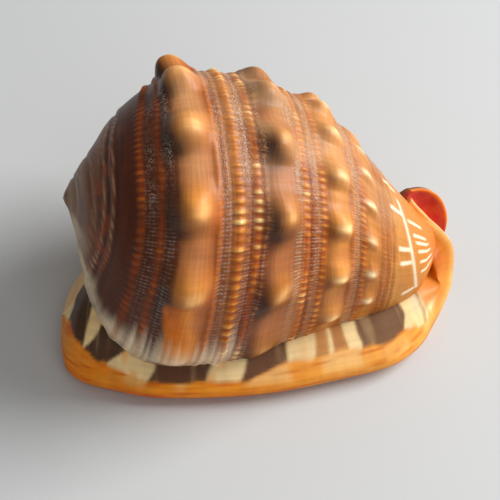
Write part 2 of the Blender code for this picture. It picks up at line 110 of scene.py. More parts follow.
# Rails of the lip and the shield, in order round the section. Each knot is a place along SPINE, then
# the distance sideways (negative towards the lip) and inwards (up, under the body).
RAILS = {
    "groove": [
        (0, 0, -3), (0.7, 0, -3), (1.3, 0, 3), (2, 0, 6.5), (5, 0, 7), (7, 0, 5.5), (8, 0, 4.5),
        (9, 0, 3.6), (9.6, 0, 0.6), (10, 0, -2.4),
    ],
    "lip_edge": [
        (0, -0.4, -3), (0.7, -1.2, -3), (1.3, -3.2, -0.5), (2, -4.4, 0), (5, -4.6, 0), (6, -4.4, 0),
        (7, -4.2, 0.8), (8, -3.6, 1), (9, -3, 0.8), (9.6, -1.8, -1), (10, -0.5, -2.8),
    ],
    "lip_slope": [
        (0, -0.5, -3), (0.7, -4, -4), (1.3, -7.5, -3.4), (2, -9.4, -3), (5, -9.6, -3),
        (6, -8.4, -2.8), (7, -7, -2), (8, -4.6, -1.4), (9, -4.1, -1.2), (9.6, -2.7, -2.4),
        (10, -0.9, -3.4),
    ],
    "lip_crest": [
        (0, -0.7, -2.8), (0.06, -5, -3.6), (0.3, -10, -4.7), (1, -14, -4.9), (2, -15.6, -4.9),
        (4, -14.6, -4.9), (5, -15.6, -4.9), (6, -13, -4.8), (6.6, -9.6, -4.4), (7, -7.8, -4),
        (7.5, -5.6, -3.4), (8, -4.8, -2.9), (9, -4.9, -2.3), (9.6, -3.5, -3.4),
        (10, -1.3, -4.2),
    ],
    "lip_heel": [
        (0, -0.9, -1.8), (0.06, -6.5, -3), (0.3, -14, -4.2), (1, -19.5, -4.7), (2, -20.6, -4.8),
        (4, -19.6, -4.8), (5, -21, -4.8), (6, -17.6, -4.7), (6.6, -12.6, -4), (7, -10, -3.6),
        (7.5, -7.2, -3.2), (8, -6, -3), (9, -5.7, -2), (9.6, -4.5, -2.8), (10, -2.2, -3.8),
    ],
    "lip_rim": [
        (0, -1, 0), (0.06, -9.4, 0), (0.3, -19.2, 0), (0.8, -23.4, 0), (1.4, -25, 0), (2, -26.4, 0),
        (3, -25.2, 0), (4, -25.2, 0), (5, -27, 0), (5.5, -25, 0), (6, -21, -0.6), (6.5, -16.4, -1.6),
        (7, -11.4, -2.4), (7.5, -7.8, -2.6), (8, -6.6, -2.6), (9, -6.4, -1.6), (10, -4.4, -1),
    ],
    "lip_top": [
        (0, -0.8, 2.4), (0.06, -8.2, 3), (0.3, -17.4, 4), (0.8, -21.4, 4.8), (1.4, -22.8, 5),
        (2, -24, 5), (3, -23, 5), (4, -23, 5), (5, -24.6, 5), (5.5, -22.8, 5), (6, -19.8, 4.6),
        (6.5, -16, 3.6), (7, -12, 2.2), (7.5, -9.4, 1), (8, -8, 0.4), (9, -7.4, 1), (10, -4.8, 1),
    ],
    "lip_shelf": [
        (0, -0.4, 3), (0.25, -9, 9), (0.6, -13, 14), (1, -15, 14), (2, -15, 12), (4, -13, 12),
        (5, -14, 12), (6, -15, 12), (7, -14, 5.5), (7.5, -12.6, 5), (8, -11, 5.4), (9, -8.6, 5.2),
        (10, -4.4, 3),
    ],
    "roof": [
        (0, 0, 3), (0.5, 1, 13), (1, 3, 20), (2, 8, 22), (5, 8, 18), (6, 3, 13), (7, 0, 8), (8, 0, 7),
        (9, 0, 7), (10, 0, 4.6),
    ],
    "margin_inside": [
        (0, 0.4, 3), (0.5, 8, 10), (1, 16, 18), (6, 16, 14), (6.6, 12, 12), (7, 11, 9), (8, 9.4, 7.4),
        (9, 7.6, 5), (10, 4.4, 3),
    ],
    "margin_top": [
        (0, 0.8, 2.4), (0.06, 8, 3), (0.3, 16, 4), (0.6, 21, 6), (1, 24, 9), (6, 24, 12),
        (6.6, 17, 7), (7, 13.6, 4), (8, 10.4, 1), (9, 9.2, 1), (10, 4.8, 1),
    ],
    "margin": [
        (0, 1, 0), (0.06, 9, 0), (0.3, 17.6, 0), (0.6, 23, 1), (1, 26, 4), (6, 26, 9), (6.6, 17, 3),
        (7, 12.4, 0), (8, 8.8, -2), (9, 8.4, -1.6), (10, 4.6, -0.6),
    ],
    "shield_belly": [],
    "shield_heel": [
        (0, 0.8, -1.8), (0.06, 6.5, -3), (0.3, 13, -4.2), (1, 19, -4.7), (2, 22.6, -4.8),
        (4, 23.6, -4.8), (5, 22, -4.8), (6, 16.4, -4.6), (6.6, 12, -4), (7, 9.6, -3.6), (8, 7.4, -3.6),
        (8.5, 6.6, -4.4), (9, 5.4, -5.4), (9.5, 3.8, -5.6), (10, 2, -4.4),
    ],
    "shield_crest": [
        (0, 0.6, -2.8), (0.06, 5, -3.6), (0.3, 10, -4.7), (1, 14, -4.9), (2, 18, -4.9), (4, 19, -4.9),
        (5, 17.6, -4.9), (6, 13, -4.8), (6.6, 9.8, -4.4), (7, 7.6, -4), (8, 5.6, -3.6),
        (8.5, 5.2, -4.5), (9, 4.2, -5.7), (9.5, 2.9, -6), (10, 1.2, -4.8),
    ],
    "shield_slope": [
        (0, 0.5, -3), (0.7, 4, -4), (1.3, 7.5, -3.4), (2, 10, -3), (5, 10, -3), (6, 8.4, -2.8),
        (7, 6.4, -2), (8, 4.8, -1.4), (9, 3.9, -2.2), (9.6, 2.4, -3.4), (10, 0.7, -4),
    ],
    "shield_edge": [
        (0, 0.4, -3), (0.7, 1.2, -3), (1.3, 3.2, -0.5), (2, 4.4, 0), (5, 4.6, 0), (6, 4.4, 0),
        (7, 4.2, 0.8), (8, 3.6, 1), (9, 3, 0.6), (9.6, 1.7, -1.4), (10, 0.3, -3.2),
    ],
}
# Steps from one rail to the next, with more where the lip's markings are.
PIECES_PER_SPAN = 4
SPAN_PIECES = {"lip_rim": 7, "lip_top": 12, "lip_shelf": 8}
# The shield's edge lies on the body: place along the aperture, place along the axis, turn in degrees.
MARGIN_PATH = [
    (0.6, 14.0, 34.0), (1, 20.0, 42.0), (2, 34.0, 52.0), (3, 50.0, 56.0), (4, 66.0, 58.0),
    (5, 82.0, 62.0), (6, 96.0, 72.0), (6.6, 103.0, 84.0),
]
# How far past that edge each of its rails is, in degrees, and how high over the body.
MARGIN_LIFT = {"margin_inside": (10.0, -4.0), "margin_top": (3.0, 1.3), "margin": (0.0, 2.4)}
MARGIN_FROM, MARGIN_TO = (0.5, 1.1), (5.9, 6.7)

TEETH = 21  # on each side of the aperture
TEETH_FROM, TEETH_TO = 1.35, 6.3
TOOTH_HEIGHT = {"lip_edge": 1.6, "lip_slope": 1.5, "shield_edge": 1.6, "shield_slope": 1.4}
TOOTH_REACH = 0.9

# The room: its wall, how far round and along it goes, and the passage into it from the aperture.
WALL = 4.6
HOLLOW_FROM, HOLLOW_TO = math.radians(95.0), math.radians(318.0)
HOLLOW_MIDDLE, HOLLOW_HALF_LENGTH = 60.0, 36.0
HOLLOW_FLOOR = 14.5
SLOT_HALF_WIDTH = 3.7
SLOT_FROM, SLOT_TO = 1.5, 5.9
SLOT_BOTTOM, SLOT_TOP = 0.5, 17.0

# The parts of the surface, by material index.
WHORL, LIP, ROOM = 0, 1, 2
LONGEST, WHOLE_TURN = 120.0, math.tau  # what a full step of the whorl's map is along and round

# Ground colour of the whorl along its rows: place, then red, green and blue out of 255. Besides the
# shell's own banding, these shades hold some painted highlight and, towards the spire, painted shade.
GROUND = [
    (0, 142, 118, 92), (3, 122, 88, 60), (7, 110, 68, 42), (10, 104, 58, 34), (12, 98, 50, 28),
    (15, 84, 40, 22), (19, 78, 36, 18), (20, 108, 52, 24), (21.5, 76, 36, 18), (24, 86, 42, 22),
    (25.5, 116, 58, 28), (27, 80, 38, 20), (29.6, 84, 40, 20), (31, 138, 84, 50), (34.5, 164, 106, 64),
    (37.5, 156, 98, 58), (39, 150, 86, 48), (41, 160, 82, 38), (42.5, 122, 70, 44), (44, 134, 84, 56),
    (46.5, 176, 108, 52), (48.5, 126, 80, 54), (50, 122, 62, 34), (52, 152, 76, 36), (54, 96, 48, 28),
    (56, 108, 60, 34), (59, 142, 90, 52), (62, 142, 86, 48), (64.5, 150, 98, 62), (66.5, 166, 94, 48),
    (68.5, 128, 64, 32), (70, 146, 94, 60), (71.5, 156, 84, 42), (73.5, 156, 98, 56),
    (76.5, 186, 128, 76), (79.5, 172, 110, 62), (81, 156, 88, 44), (82.5, 154, 108, 72),
    (84.5, 168, 94, 48), (87, 188, 126, 72), (90, 180, 114, 62), (93, 168, 98, 50), (96, 194, 136, 80),
    (100, 192, 130, 74), (104, 198, 132, 72), (108, 200, 126, 64), (112, 200, 118, 56),
]
# Thin dark lines between the cords, partly the shell's own brown and partly painted shade in the
# hollows between them: place along the rows, half width and strength.
CORD_SHADE_LINES = [
    (17.4, 0.5, 0.5), (22.2, 0.5, 0.6), (30.0, 0.8, 0.85), (40.0, 0.5, 0.6), (44.9, 0.5, 0.6),
    (50.6, 0.6, 0.8), (55.2, 0.6, 0.8), (57.0, 0.4, 0.4), (63.0, 0.5, 0.5), (68.0, 0.5, 0.8),
    (73.0, 0.5, 0.6), (80.3, 0.4, 0.5), (83.6, 0.35, 0.5), (86.0, 0.35, 0.4), (91.2, 0.35, 0.35),
    (93.1, 0.35, 0.4), (95.2, 0.35, 0.4),
]
# Patches round each knob of a row: how far along and round from its peak, half sizes (mm, degrees),
# colour and strength. The first list goes with the first row of knobs, and so on.
# Dark patches are partly the shell's own brown and partly painted shade; pale tips are partly painted
# highlight.
PATCHES = [
    [
        (1.0, -15.0, 4.8, 6.5, (178, 118, 82), 0.85), (0.6, -2.0, 4.4, 5.6, (204, 136, 78), 0.95),
        (1.6, 0.5, 2.0, 2.6, (232, 184, 128), 0.7), (-5.6, 3.0, 2.8, 7.5, (52, 26, 15), 1.0),
        (-3.4, 8.0, 3.4, 3.6, (58, 30, 17), 1.0), (5.5, 6.0, 1.6, 5.0, (150, 78, 38), 0.6),
        (-4.6, -10.0, 0.9, 9.0, (70, 34, 18), 0.8),
    ],
    [
        (1.0, -14.0, 4.2, 6.0, (164, 106, 74), 0.7), (0.8, -3.5, 3.4, 5.0, (170, 110, 62), 0.85),
        (1.8, -1.0, 1.6, 2.2, (226, 178, 122), 0.6), (-3.4, 3.0, 2.6, 8.0, (54, 28, 16), 1.0),
        (-1.2, 8.0, 3.4, 3.8, (58, 30, 17), 0.95),
    ],
    [
        (0.0, -3.0, 3.2, 5.0, (204, 140, 84), 0.8), (0.6, 0.5, 2.0, 2.0, (246, 212, 160), 0.8),
        (-2.6, 4.0, 1.6, 4.5, (112, 58, 28), 0.7), (1.0, -10.0, 3.0, 3.5, (184, 120, 78), 0.5),
    ],
    [
        (0.0, 0.0, 1.8, 2.0, (250, 226, 184), 0.9), (-1.8, 2.0, 1.2, 3.0, (140, 76, 38), 0.5),
    ],
]
# Bands with fine pale cross hatching: middle and half width along the rows, and strength.
HATCHED = [
    (22.8, 1.6, 0.5), (28.0, 1.6, 0.6), (42.8, 1.8, 0.8), (49.2, 1.7, 0.9), (54.0, 1.3, 0.5),
    (64.4, 1.5, 0.8), (69.5, 1.6, 0.9), (82.4, 1.8, 0.8), (92.5, 2.5, 0.35),
]
STRIA = 1.45  # distance between fine spiral lines
STRAND = 1.15  # distance between the strands that break up the hatching
DASHES = 250  # in one turn of a hatched band
# The white line near the canal: where it starts along the axis, how far on it is a degree later, its
# first and last turn, and its half width. Each bar beside it has a place and a turn.
LINE_START, LINE_SLANT, LINE_TURNS, LINE_HALF = 98.5, 0.07, (188.0, 284.0), 0.5
BARS = [
    (96.6, 181), (97.4, 206), (99.2, 237), (99.9, 249), (102.0, 281), (104.0, 206), (105.4, 219),
    (106.4, 226), (107.2, 235), (108.0, 247), (108.6, 260),
]
BAR_SLANT = 0.5
BAR_HALF_WIDTH = 2.1  # degrees
SHORT_BAR, LONG_BAR = 2.3, 2.8  # half lengths, on the near and the far side of the line
# Pale seams on the spire: row, half width and colour.
SEAMS = [(10.5, 0.3, (206, 168, 138)), (13.0, 0.22, (190, 148, 116))]

# Blotches on top of the lip: first and last place along the aperture, how far they slant for each
# rail, colour and strength.
BLOTCHES = [
    (0.2, 0.76, 0.15, (60, 32, 20), 0.97), (0.84, 1.5, 0.55, (66, 36, 22), 0.97),
    (1.97, 2.74, 0.1, (84, 46, 26), 0.97), (3.1, 3.6, 0.1, (94, 52, 30), 0.97),
    (3.98, 4.16, 0.1, (178, 112, 58), 0.85), (4.22, 4.42, 0.1, (168, 102, 50), 0.85),
    (4.62, 5.42, 0.1, (104, 68, 46), 0.95), (5.85, 6.0, 0.0, (150, 110, 80), 0.6),
]
# Where the orange rim ends on top of the lip: place along the aperture, and rail round the section.
RIM_EDGE = [
    (0.0, 7.5), (0.3, 7.2), (0.56, 6.7), (0.8, 6.55), (0.95, 6.45), (1.4, 6.25), (1.9, 6.02), (3.1, 6.05),
    (3.65, 6.36), (4.2, 6.4), (4.9, 6.3), (5.3, 6.36), (5.8, 6.0), (6.4, 6.0), (10.0, 6.0),
]

# Colours laid over the whorl's ground.
STRETCH_BROWN = (92, 46, 24)
# Dark brown of the lines between the cords, partly painted shade.
CORD_SHADE_BROWN = (86, 34, 14)
CORD_BROWN = (140, 62, 26)
BEAD_TAN = (190, 106, 48)
BEAD_GOLD = (226, 162, 88)
BEAD_CREAM = (252, 222, 160)
WASH_TAN = (186, 146, 108)
LINE_WHITE = (245, 232, 208)
BAR_WHITE = (246, 232, 206)
PATCH_ORANGE = (216, 116, 46)
PATCH_PEACH = (236, 164, 100)
# Painted shade beside the orange patch.
PATCH_SHADE = (62, 30, 18)
SPIRE_PALE = (170, 128, 96)
SPIRE_DARK = (48, 24, 18)
SEAM_DARK = (54, 26, 18)
SPIRE_RUST = (138, 64, 34)
STREAK_CREAM = (250, 230, 200)
STREAK_BLOT = (104, 62, 40)
HATCH_PALE = (214, 200, 182)
# Colours of the lip, the shield, the canal and the room.
LIP_GROUND = (232, 190, 140)
SHIELD_TAN = (226, 142, 74)
TEETH_CREAM = (240, 210, 170)
TOP_CREAM = (246, 218, 168)
TOP_TAN = (236, 160, 82)
RIM_ORANGE = (224, 116, 34)
RIM_TAN = (234, 170, 104)
RIM_GOLD = (246, 182, 100)
RIM_PALE = (246, 206, 146)
RIM_RUST = (190, 80, 24)
RIM_UNDER = (198, 84, 26)
TAIL_TAN = (214, 132, 66)
TAIL_PALE = (240, 186, 122)
TAIL_RUST = (168, 74, 30)
FOLD_TAN = (208, 132, 74)
FOLD_CREAM = (250, 232, 196)
# Brown of the canal's outside, partly painted shade.
CANAL_OUTSIDE = (84, 44, 26)
CANAL_RED = (190, 54, 2)
CANAL_GLOW = (212, 96, 8)
CANAL_EDGE = (240, 132, 52)
CANAL_RIM = (246, 166, 92)
ROOM_BROWN = (200, 96, 50)
FLOOR_GREY = (202, 204, 204)
VIVID = 1.16  # how much purer the painted colours are than the light that they send back

# The lights, in metres and watts, and the camera: its turn and height, what it looks at in
# millimetres, how far away it is in metres, and its lens in millimetres.
LIGHTS = [("window", (0.97, 0.06, 0.74), 20.5), ("fill", (0.3, -1.0, 0.9), 3.0)]
LIGHT_SIZE = 0.8
CAMERA_TURN, CAMERA_HEIGHT = math.radians(-9.0), math.radians(50.0)
CAMERA_TARGET = np.array([-2.52, -8.73, 31.0])
CAMERA_DISTANCE = 0.45
LENS = 106.272


def linear(*parts):
    """Red, green and blue out of 255 as the renderer's light values."""
    share = np.array(parts, float) / 255
    return np.where(share <= 0.04045, share / 12.92, ((share + 0.055) / 1.055) ** 2.4)


def vivid(paint):
    """The same colours, purer and a little deeper."""
    grey = paint @ np.array([0.2126, 0.7152, 0.0722])
    return np.clip(grey[:, None] + (paint - grey[:, None]) * VIVID, 0.002, 1) * 0.95


def smooth(knots, x):
    """A cubic through the knots (place, value) that never overshoots them."""
    x = np.asarray(x, float)
    px, py = np.array(knots, float).T
    step, rise = np.diff(px), np.diff(py)
    slope = rise / step
    before, after = slope[:-1], slope[1:]
    same = before * after > 0
    total = np.where(same, before + after, 1.0)
    tangent = np.zeros(len(px))
    tangent[1:-1] = np.where(same, 2 * before * after / total, 0.0)
    tangent[0], tangent[-1] = slope[0], slope[-1]
    i = np.clip(np.searchsorted(px, x, side="right") - 1, 0, len(step) - 1)
    u = np.clip((x - px[i]) / step[i], 0, 1)
    return (
        py[i] * (1 + 2 * u) * (1 - u) ** 2
        + tangent[i] * step[i] * u * (1 - u) ** 2
        + py[i + 1] * u * u * (3 - 2 * u)
        + tangent[i + 1] * step[i] * u * u * (u - 1)
    )


def ease(low, high, x):
    """0 below low, 1 above high, and smooth between them."""
    u = np.clip((x - low) / (high - low), 0, 1)
    return u * u * (3 - 2 * u)


def hump(x, middle, half):
    """A soft bump of height 1 about middle."""
    return np.exp(-(((x - middle) / half) ** 2))


def mottle(x, y, seed=1):
    """Smooth random values from -1 to 1, one for each whole step of x and y."""
    table = np.random.default_rng(seed).uniform(-1, 1, (64, 64))
    x, y = np.broadcast_arrays(np.asarray(x, float), np.asarray(y, float))
    i, j = np.floor(x).astype(int), np.floor(y).astype(int)
    u, v = ease(0, 1, x - i), ease(0, 1, y - j)
    near = table[i % 64, j % 64] * (1 - u) + table[(i + 1) % 64, j % 64] * u
    far = table[i % 64, (j + 1) % 64] * (1 - u) + table[(i + 1) % 64, (j + 1) % 64] * u
    return near * (1 - v) + far * v


def row_place(along, turn):
    """The place in the rows and cords, which lean towards the spire near the lip and over the back."""
    along, turn = np.broadcast_arrays(np.asarray(along, float), np.asarray(turn, float))
    at_lip = ease(math.radians(220.0), math.radians(310.0), turn)
    at_back = 1 - ease(math.radians(120.0), math.radians(215.0), turn)
    place = along.copy()
    for _ in range(8):
        wanted = along + at_lip * smooth(LEAN_AT_LIP, place) + at_back * smooth(LEAN_AT_BACK, place)
        place = 0.5 * (place + wanted)
    return place


def knob_wave(turn, count, peak):
    """Along a row, 1 on a knob and 0 between: a long rise, then a short fall towards the lip."""
    place = (((turn - math.radians(peak)) * count / math.tau) + 0.58) % 1.0
    return ease(0.14, 0.54, place) * (1 - ease(0.64, 0.93, place))


def bead_wave(turn, place):
    """Along a cord, 1 on a bead and 0 between. The beads are uneven in length and height."""
    degrees = np.degrees(turn)
    phase = turn * BEADS + 1.3 * mottle(degrees / 9, place, 13)
    return (0.5 + 0.5 * np.cos(phase)) * (0.8 + 0.35 * mottle(degrees / 5 + 7, place, 7))


def relief(along, turn):
    """Height of the knobs, cords and seams over the plain whorl. The knobs fade towards the lip."""
    row = row_place(along, turn)
    height = np.zeros(row.shape)
    fading = ease(math.radians(235.0), math.radians(305.0), turn)
    uncovered = ease(math.radians(RELIEF_FROM), math.radians(RELIEF_FULL), turn)
    for place, half, top, count, peak in KNOB_ROWS:
        across = np.clip(1 - ((row - place) / (1.25 * half)) ** 2, 0, 1) ** 2
        size = 1 + 0.12 * mottle(np.round((np.degrees(turn) - peak) * count / 360), place, 14)
        height += top * (1 - 0.6 * fading) * across * (0.16 + 0.88 * size * knob_wave(turn, count, peak))
    for place, half, top, beaded in CORDS:
        height += top * hump(row, place, half) * (1 - beaded * 0.85 * (1 - bead_wave(turn, place)))
    height -= GROOVE_DEPTH * hump(row, GROOVE_ROW, GROOVE_HALF)
    radius = smooth(BACK_OUTLINE, along)
    whorl = np.log(np.maximum(radius, 0.5) / SUTURE_RADIUS) / math.log(SUTURE_GROWTH)
    from_suture = whorl - np.round(whorl)
    on_spire = (radius < 0.75 * SUTURE_RADIUS) & (radius > 2.5) & (along < 20)
    height -= np.where(on_spire, SUTURE_DEPTH * np.exp(-((from_suture / 0.09) ** 2)), 0)
    return height * uncovered


def whorl_radius(along, turn):
    """Radius of the plain whorl."""
    share = smooth(GROWTH, np.degrees(turn))
    return smooth(BACK_OUTLINE, along) * (1 - share) + smooth(LIP_OUTLINE, along) * share


def coil_point(along, turn, radius_change=0.0, floor=UNDERSIDE_HEIGHT, sculpted=True):
    """The point of the whorl at this distance along the axis and this angle round it."""
    along, turn = np.broadcast_arrays(np.asarray(along, float), np.asarray(turn, float))
    radius = whorl_radius(along, turn)
    slope = whorl_radius(along + 0.5, turn) - whorl_radius(along - 0.5, turn)
    lean = np.arctan(np.clip(slope, -2, 2))
    height = relief(along, turn) * ease(0, 4, radius) if sculpted else 0.0
    radius = np.maximum(radius + radius_change + height * np.cos(lean), 0)
    forward = along - height * np.sin(lean)
    bend = smooth(BEND, along)
    side = radius * np.sin(turn) + bend * math.sin(BEND_TURN)
    up = -radius * np.cos(turn) - bend * math.cos(BEND_TURN)
    x = APEX[0] + forward * math.cos(AXIS_DIP) + up * math.sin(AXIS_DIP)
    y = APEX[1] + side
    z = APEX[2] - forward * math.sin(AXIS_DIP) + up * math.cos(AXIS_DIP)
    return np.stack([x, y, np.maximum(z, floor)], axis=-1)


def cubic(a, b, c, d, u):
    """A Catmull-Rom curve from b to c, and its direction, at this share of the way."""
    bow, twist = 2 * a - 5 * b + 4 * c - d, 3 * b - a - 3 * c + d
    return 0.5 * (2 * b + (c - a) * u + bow * u**2 + twist * u**3), (c - a) / 2 + bow * u + 1.5 * twist * u**2


def spine_frames(places):
    """Points of SPINE at these places, with their sideways and inward directions."""
    points = np.array(SPINE, float)
    padded = np.vstack([2 * points[0] - points[1], points, 2 * points[-1] - points[-2]])
    places = np.clip(np.asarray(places, float), 0, len(points) - 1)
    i = np.minimum(places.astype(int), len(points) - 2)
    u = (places - i)[:, None]
    a, b, c, d = (padded[i + n] for n in range(4))
    centre, ahead = cubic(a, b, c, d, u)
    ahead /= np.linalg.norm(ahead, axis=1)[:, None]
    sideways = np.array([0.0, 1.0, 0.0]) - ahead[:, 1:2] * ahead
    sideways /= np.linalg.norm(sideways, axis=1)[:, None]
    return centre, sideways, np.cross(ahead, sideways)


def mesh_object(name, rings, starts, arounds, region, cap_start, cap_end):
    """A closed mesh from rings of points in millimetres, mapped by its stations and places round them.

    Each end comes to the tip given for it, or is closed flat where no tips are given.
    """
    rings = np.asarray(rings, float)
    layers, count = rings.shape[:2]
    points = [(ring - MIDDLE) * MM for ring in rings]
    flat_caps = cap_start is None
    if not flat_caps:
        points += [((tip - MIDDLE) * MM)[None] for tip in (cap_start, cap_end)]
    points = np.concatenate(points)
    first_tip, last_tip = layers * count, layers * count + 1
    faces, mapped = [], []
    edges = list(arounds) + [1.0]
    for i in range(layers - 1):
        for j in range(count):
            k = (j + 1) % count
            faces.append((i * count + j, i * count + k, (i + 1) * count + k, (i + 1) * count + j))
            low, high, near, far = starts[i], starts[i + 1], edges[j], edges[j + 1]
            mapped += [(low, near), (low, far), (high, far), (high, near)]
    for tip, i in ((first_tip, 0), (last_tip, layers - 1)):
        if flat_caps:
            ring = [i * count + j for j in range(count)]
            faces.append(tuple(reversed(ring)) if i == 0 else tuple(ring))
            around = edges[:count]
            mapped += [(starts[i], place) for place in (reversed(around) if i == 0 else around)]
            continue
        for j in range(count):
            k = (j + 1) % count
            corners = [(i * count + j, edges[j]), (i * count + k, edges[j + 1])]
            if i == 0:
                corners.reverse()
            faces.append((corners[0][0], corners[1][0], tip))
            middle = (edges[j] + edges[j + 1]) / 2
            mapped += [(starts[i], corners[0][1]), (starts[i], corners[1][1]), (starts[i], middle)]
    mesh = bpy.data.meshes.new(name)
    mesh.from_pydata(points.tolist(), [], faces)
    spread = mesh.uv_layers.new(name="spread")
    spread.data.foreach_set("uv", np.array(mapped, float).ravel())
    mesh.polygons.foreach_set("material_index", [region] * len(faces))
    shape = bmesh.new()
    shape.from_mesh(mesh)
    bmesh.ops.recalc_face_normals(shape, faces=shape.faces[:])
    shape.to_mesh(mesh)
    shape.free()
    obj = bpy.data.objects.new(name, mesh)
    bpy.context.scene.collection.objects.link(obj)
    return obj


def make_body():
    """Spire and body whorl, closed at both ends of the coil axis."""
    fine = np.radians(np.arange(100.0, 322.0, 0.75))
    back = np.radians(np.arange(66.0, 100.0, 1.2))
    covered = np.radians(np.arange(322.0, 360.0, 5.0))
    start = np.radians(np.arange(0.0, 66.0, 6.0))
    turns = np.concatenate([start, back, fine, covered])
    tip, tail = [0.15, 0.4, 0.8, 1.2], [112.5, 113.1, 113.6, 114.0, 114.35]
    stations = np.concatenate([tip, np.arange(1.6, 112.0, 0.52), tail])
    rings = [coil_point(along, turns) for along in stations]
    ends = [coil_point(along, 0.0, sculpted=False) for along in (0.0, BACK_OUTLINE[-1][0])]
    return mesh_object("body_form", rings, stations / LONGEST, turns / WHOLE_TURN, WHORL, *ends)


def tooth_wave(places):
    """1 on a tooth and 0 between two teeth."""
    inside = ease(TEETH_FROM, TEETH_FROM + 0.3, places) * (1 - ease(TEETH_TO - 0.3, TEETH_TO, places))
    phase = (places - TEETH_FROM) * TEETH / (TEETH_TO - TEETH_FROM)
    return inside * (0.5 - 0.5 * np.cos(math.tau * phase))


def rail_points(name, places, frames):
    """Points of one rail of the loft at these places along SPINE."""
    centre, sideways, inward = frames
    side = smooth([(k, b) for k, b, _ in RAILS[name]], places)
    depth = smooth([(k, u) for k, _, u in RAILS[name]], places)
    if name in TOOTH_HEIGHT:
        tooth = tooth_wave(places)
        depth = depth - TOOTH_HEIGHT[name] * tooth
        side = side - np.sign(side) * TOOTH_REACH * tooth * ("edge" in name)
    points = centre + side[:, None] * sideways + depth[:, None] * inward
    if name in MARGIN_LIFT:
        turn, lift = MARGIN_LIFT[name]
        along = smooth([(k, t) for k, t, _ in MARGIN_PATH], places)
        angle = np.radians(smooth([(k, a) for k, _, a in MARGIN_PATH], places) + turn)
        on_body = coil_point(along, angle, lift, floor=0.0, sculpted=False)
        share = (ease(*MARGIN_FROM, places) * (1 - ease(*MARGIN_TO, places)))[:, None]
        points = points * (1 - share) + on_body * share
    return points


def make_lip_and_shield():
    """The outer lip, the parietal shield and the canal, lofted along the aperture."""
    spire_end = np.concatenate([[0.0, 0.02, 0.05, 0.09, 0.14], np.arange(0.19, 1.33, 0.04)])
    teeth = np.linspace(TEETH_FROM, TEETH_TO, TEETH * 8 + 1)
    canal = np.arange(TEETH_TO + 0.06, 10.001, 0.06)
    places = np.concatenate([spire_end, teeth, canal, [10.0]])
    frames = spine_frames(places)
    rails = {name: rail_points(name, places, frames) for name in RAILS if RAILS[name]}
    heel, margin = rails["shield_heel"], rails["margin"]
    across = margin - heel
    inward = np.sum(across * frames[2], axis=1)[:, None] * frames[2]
    rails["shield_belly"] = heel + 0.68 * (across - inward) + 0.3 * inward
    corners = np.array([rails[name] for name in RAILS])
    count = len(corners)
    around, sections = [], []
    for i, name in enumerate(RAILS):
        a, b, c, d = (corners[(i + n) % count] for n in (-1, 0, 1, 2))
        pieces = SPAN_PIECES.get(name, PIECES_PER_SPAN)
        for step in range(pieces):
            share = step / pieces
            sections.append(cubic(a, b, c, d, share)[0])
            around.append((i + share) / count)
    rings = np.transpose(np.array(sections), (1, 0, 2))
    rings[:, :, 2] = np.maximum(rings[:, :, 2], 0.0)
    return mesh_object("lip_form", rings, places / 10, around, LIP, None, None)


def make_hollow():
    """The room inside the body whorl: wide at the aperture and closed behind the columella."""
    around = np.linspace(0, math.tau, 48, endpoint=False)
    turns = np.linspace(HOLLOW_FROM, HOLLOW_TO, 60)
    rings = []
    for turn in turns:
        share = float(ease(-0.02, 0.25, (turn - HOLLOW_FROM) / (HOLLOW_TO - HOLLOW_FROM)))
        closing = 0.5 if turn == turns[-1] else 1.0
        along = HOLLOW_MIDDLE + HOLLOW_HALF_LENGTH * (0.45 + 0.55 * share) * np.cos(around)
        plain = whorl_radius(along, turn)
        inner = smooth([(20, 12.0), (60, 8.0), (100, 5.0)], along)
        middle, half = (plain - WALL + inner) / 2, (plain - WALL - inner) / 2
        radius = middle + half * np.sin(around) * (0.25 + 0.75 * share) * closing
        rings.append(coil_point(along, turn, radius - plain, HOLLOW_FLOOR, sculpted=False))
    rings = np.array(rings)
    ends = [rings[0].mean(axis=0), rings[-1].mean(axis=0)]
    places = (turns - turns[0]) / (turns[-1] - turns[0])
    return mesh_object("hollow_form", rings, places, around / math.tau, ROOM, *ends)


def make_slot():
    """The narrow passage from the aperture's groove up into the hollow."""
    places = np.linspace(SLOT_FROM, SLOT_TO, 60)
    shoulder = SLOT_TOP - 3
    centre, sideways, inward = spine_frames(places)
    taper = ease(SLOT_FROM - 0.2, SLOT_FROM + 0.5, places) * (1 - ease(SLOT_TO - 0.5, SLOT_TO + 0.2, places))
    rings = []
    for i in range(len(places)):
        half = SLOT_HALF_WIDTH * (0.45 + 0.55 * taper[i])
        left = [(-half, SLOT_BOTTOM), (-half, shoulder)]
        corners = left + [(0, SLOT_TOP), (half, shoulder), (half, SLOT_BOTTOM)]
        rings.append([centre[i] + b * sideways[i] + u * inward[i] for b, u in corners])
    rings = np.array(rings)
    ends = [rings[0].mean(axis=0), rings[-1].mean(axis=0)]
    around = np.linspace(0, 1, 5, endpoint=False)
    return mesh_object("slot_form", rings, places / 10, around, ROOM, *ends)


def combine(target, tool, operation):
    """A Boolean on target, applied, after which the other form is gone."""
    step = target.modifiers.new(tool.name, "BOOLEAN")
    step.operation = operation
    step.object = tool
    step.solver = "EXACT"
    bpy.ops.object.select_all(action="DESELECT")
    bpy.context.view_layer.objects.active = target
    target.select_set(True)
    bpy.ops.object.modifier_apply(modifier=step.name)
    bpy.data.objects.remove(tool)


def blend(ground, colour, share):
    """The ground with this colour laid over it."""
    share = np.clip(share, 0, 1)[:, None]
    return ground * (1 - share) + linear(*colour) * share


